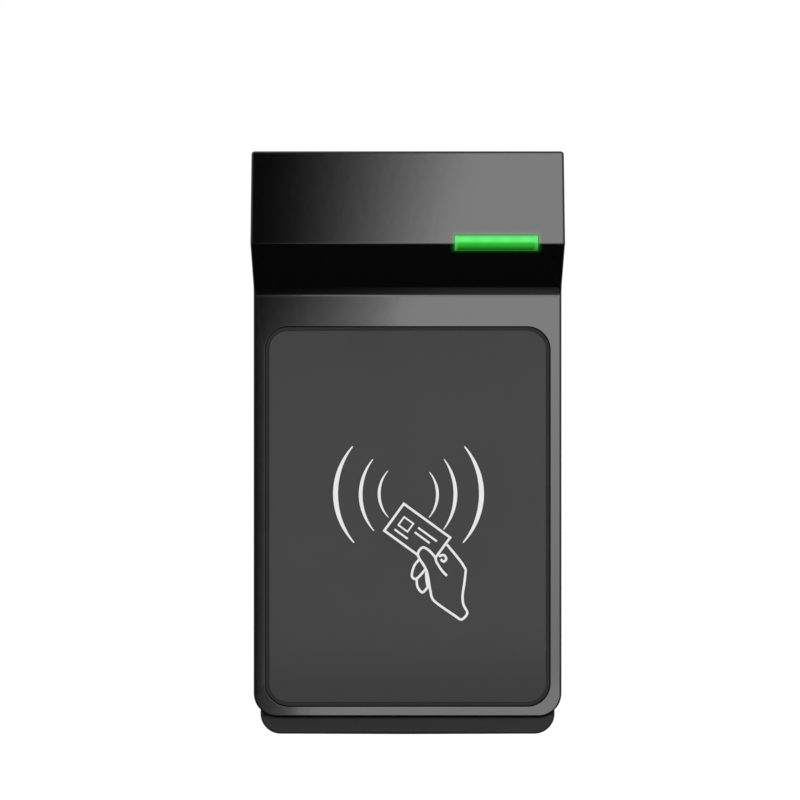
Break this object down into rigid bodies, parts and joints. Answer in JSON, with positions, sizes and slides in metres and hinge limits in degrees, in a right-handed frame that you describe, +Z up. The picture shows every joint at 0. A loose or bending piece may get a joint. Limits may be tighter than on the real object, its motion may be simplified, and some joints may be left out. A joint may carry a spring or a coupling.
{
  "type": "ticket validator",
  "caption": "Wall-mounted contactless ticket validator: a hooded reader with a matt reading panel and a light bar, hinged on a wall base with a locking screw.",
  "frame": {"origin": "on the wall plane, behind the centre of the reader housing's width and height", "axes": "+Z up, +Y into the wall, the reading face looks along -Y, +X to the right as seen from the front"},
  "size_m": [0.065, 0.0252, 0.1227],
  "materials": {
    "base_shell": "fine matt moulding",
    "foam_rubber": "closed-cell foam",
    "seal_rubber": "silicone",
    "bright_steel": "ground bar",
    "screw_steel": "zinc-plated",
    "brass": "turned",
    "gloss_shell": "high-gloss black moulding",
    "panel_sheet": "matt dark grey sheet",
    "light_green": "translucent green moulding",
    "white_plastic": "white moulding",
    "cover_shell": "matt moulding",
    "board_green": "solder mask",
    "chip_black": "moulded package",
    "plated_metal": "tin-plated",
    "ceramic": "ceramic chips",
    "can_metal": "drawn can",
    "led_body": "clear-topped package",
    "terminal_green": "glass-filled moulding",
    "foam_white": "foam pad",
    "copper": "bare copper track",
    "ferrite": "flexible ferrite",
    "wire_red": "PVC insulation",
    "natural_plastic": "acetal"
  },
  "bodies": {
    "base": {"wall_base": "base_shell", "wall_seal": "foam_rubber", "hinge_bar": "bright_steel", "screw_insert": "brass"},
    "reader": {"front_housing": "gloss_shell", "reading_panel": "panel_sheet", "panel_gasket": "seal_rubber", "light_pipe": "light_green", "light_shroud": "white_plastic", "back_cover": "cover_shell", "cover_seal": "seal_rubber", "cover_screws": "screw_steel", "main_board": "board_green", "board_screws": "screw_steel", "reader_chip": "chip_black", "controller_chip": "chip_black", "regulator_chip": "chip_black", "crystal": "plated_metal", "small_parts": "ceramic", "bulk_capacitor": "can_metal", "sounder": "chip_black", "status_leds": "led_body", "terminal_block": "terminal_green", "terminal_screws": "screw_steel", "terminal_clamps": "plated_metal", "antenna_pad": "foam_white", "antenna_board": "board_green", "antenna_coil": "copper", "ferrite_sheet": "ferrite", "antenna_leads": "wire_red", "tamper_switch": "chip_black", "tamper_spring": "bright_steel"},
    "tamper_plunger": {"tamper_plunger": "natural_plastic"},
    "lock_screw": {"lock_screw": "screw_steel"}
  },
  "joints": [
    {"name": "reader_tilt", "type": "hinge", "parent": "base", "child": "reader", "pos_m": [0, -0.0044, 0.051], "axis": [-1, 0, 0], "range_deg": [0, 18]},
    {"name": "lock_screw_travel", "type": "slide", "parent": "base", "child": "lock_screw", "axis": [0, 0, 1], "range_m": [0, 0.0025]},
    {"name": "tamper_travel", "type": "slide", "parent": "reader", "child": "tamper_plunger", "axis": [0, 1, 0], "range_m": [0, 0.0015], "stiffness_N_per_m": 150, "springref_m": 0.0015, "deforming": ["tamper_spring"]}
  ]
}
